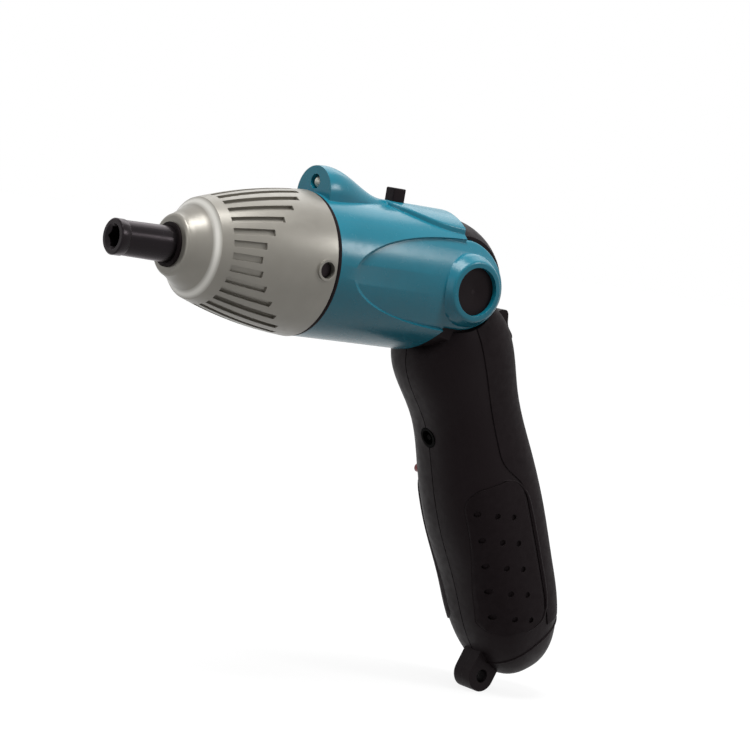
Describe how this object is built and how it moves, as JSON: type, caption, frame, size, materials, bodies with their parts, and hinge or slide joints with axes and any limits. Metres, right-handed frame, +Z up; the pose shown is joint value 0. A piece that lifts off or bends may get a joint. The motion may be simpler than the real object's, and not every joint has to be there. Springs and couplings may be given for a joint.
{
  "type": "folding cordless screwdriver",
  "caption": "Cordless screwdriver whose grip folds between a pistol and a straight pose, with a hex bit socket, slotted nose cone, geared motor, lamp and thumb rocker.",
  "frame": {"origin": "middle of the hex bit socket's mouth, on the spindle's axis", "axes": "-X points out of the bit socket, so +X runs back along the spindle; +Y to the tool's right side; +Z up, towards the lamp"},
  "size_m": [0.2121, 0.05, 0.179],
  "materials": {
    "teal_plastic": "satin moulded plastic",
    "grey_plastic": "satin painted plastic",
    "black_plastic": "fine-grained moulded plastic",
    "black_rubber": "matt overmoulded rubber",
    "dark_steel": "blackened turned steel",
    "steel": "bright machined steel",
    "black_screw": "blackened steel",
    "bronze": "sintered bronze",
    "gear_plastic": "natural moulded plastic",
    "lamp_lens": "clear pale resin",
    "red_lens": "translucent red plastic",
    "board": "green solder mask",
    "cell_wrap": "shrink-wrapped sleeve"
  },
  "bodies": {
    "grip": {"grip_shell_left": "black_plastic", "grip_shell_right": "black_plastic", "grip_pad_left": "black_rubber", "grip_pad_right": "black_rubber", "rear_grip": "black_rubber", "switch_block": "black_plastic", "battery_cells": "cell_wrap", "cell_straps": "steel", "charge_socket": "black_plastic", "charge_pin": "steel", "circuit_board": "board", "indicator_lens": "red_lens", "grip_screws": "black_screw"},
    "head": {"nose_cone": "grey_plastic", "nose_seal": "black_rubber", "front_bush": "bronze", "nose_screws": "black_screw", "ring_gear": "gear_plastic", "motor_plate": "steel", "motor_screws": "black_screw", "motor_can": "steel", "motor_end_bell": "black_plastic", "motor_terminals": "steel", "motor_housing_left": "teal_plastic", "motor_housing_right": "teal_plastic", "housing_screws": "black_screw", "led_lamp": "lamp_lens", "lamp_board": "board", "lamp_switch": "black_plastic", "detent_spring": "steel", "pivot_pin": "steel", "pivot_screw": "black_screw", "pivot_cap_left": "black_plastic", "pivot_cap_right": "black_plastic", "pivot_washers": "steel"},
    "spindle": {"bit_holder": "dark_steel", "bit_magnet": "steel", "spindle_clip": "steel", "output_carrier": "steel", "output_pins": "steel"},
    "first_stage": {"input_carrier": "steel", "input_pins": "steel"},
    "rotor": {"motor_shaft": "steel", "motor_pinion": "steel"},
    "lamp_key": {"lamp_button": "black_plastic"},
    "thumb_key": {"thumb_rocker": "black_plastic"},
    "output_gear_1": {"output_planet_1": "gear_plastic"},
    "input_gear_1": {"input_planet_1": "gear_plastic"},
    "output_gear_2": {"output_planet_2": "gear_plastic"},
    "input_gear_2": {"input_planet_2": "gear_plastic"},
    "output_gear_3": {"output_planet_3": "gear_plastic"},
    "input_gear_3": {"input_planet_3": "gear_plastic"}
  },
  "joints": [
    {"name": "head_fold", "type": "hinge", "parent": "grip", "child": "head", "pos_m": [0.134, 0, 0], "axis": [0, 1, 0], "range_deg": [0, 65], "deforming": ["detent_spring"]},
    {"name": "spindle_spin", "type": "hinge", "parent": "head", "child": "spindle", "pos_m": [0, 0, 0], "axis": [1, 0, 0], "continuous": true},
    {"name": "first_stage_spin", "type": "hinge", "parent": "head", "child": "first_stage", "pos_m": [0.05, 0, 0], "axis": [1, 0, 0], "continuous": true},
    {"name": "rotor_spin", "type": "hinge", "parent": "head", "child": "rotor", "pos_m": [0.06, 0, 0], "axis": [1, 0, 0], "continuous": true},
    {"name": "lamp_press", "type": "slide", "parent": "head", "child": "lamp_key", "axis": [0, 0, -1], "range_m": [0, 0.0012], "stiffness_N_per_m": 800, "springref_m": -0.0004},
    {"name": "thumb_tilt", "type": "hinge", "parent": "grip", "child": "thumb_key", "pos_m": [0.15618, 0, -0.01503], "axis": [0, 1, 0], "range_deg": [-6, 6], "stiffness_Nm_per_rad": 0.4},
    {"name": "output_planet_1_spin", "type": "hinge", "parent": "spindle", "child": "output_gear_1", "pos_m": [0.044, 0, 0.00877], "axis": [1, 0, 0], "continuous": true},
    {"name": "input_planet_1_spin", "type": "hinge", "parent": "first_stage", "child": "input_gear_1", "pos_m": [0.056, 0, 0.00877], "axis": [1, 0, 0], "continuous": true},
    {"name": "output_planet_2_spin", "type": "hinge", "parent": "spindle", "child": "output_gear_2", "pos_m": [0.044, -0.0076, -0.00439], "axis": [1, 0, 0], "continuous": true},
    {"name": "input_planet_2_spin", "type": "hinge", "parent": "first_stage", "child": "input_gear_2", "pos_m": [0.056, -0.0076, -0.00439], "axis": [1, 0, 0], "continuous": true},
    {"name": "output_planet_3_spin", "type": "hinge", "parent": "spindle", "child": "output_gear_3", "pos_m": [0.044, 0.0076, -0.00439], "axis": [1, 0, 0], "continuous": true},
    {"name": "input_planet_3_spin", "type": "hinge", "parent": "first_stage", "child": "input_gear_3", "pos_m": [0.056, 0.0076, -0.00439], "axis": [1, 0, 0], "continuous": true}
  ],
  "couplings": [
    {"joint": "first_stage_spin", "follows": "spindle_spin", "ratio": 6},
    {"joint": "rotor_spin", "follows": "spindle_spin", "ratio": 36},
    {"joint": "output_planet_1_spin", "follows": "spindle_spin", "ratio": -2.5},
    {"joint": "input_planet_1_spin", "follows": "spindle_spin", "ratio": -15},
    {"joint": "output_planet_2_spin", "follows": "spindle_spin", "ratio": -2.5},
    {"joint": "input_planet_2_spin", "follows": "spindle_spin", "ratio": -15},
    {"joint": "output_planet_3_spin", "follows": "spindle_spin", "ratio": -2.5},
    {"joint": "input_planet_3_spin", "follows": "spindle_spin", "ratio": -15}
  ]
}
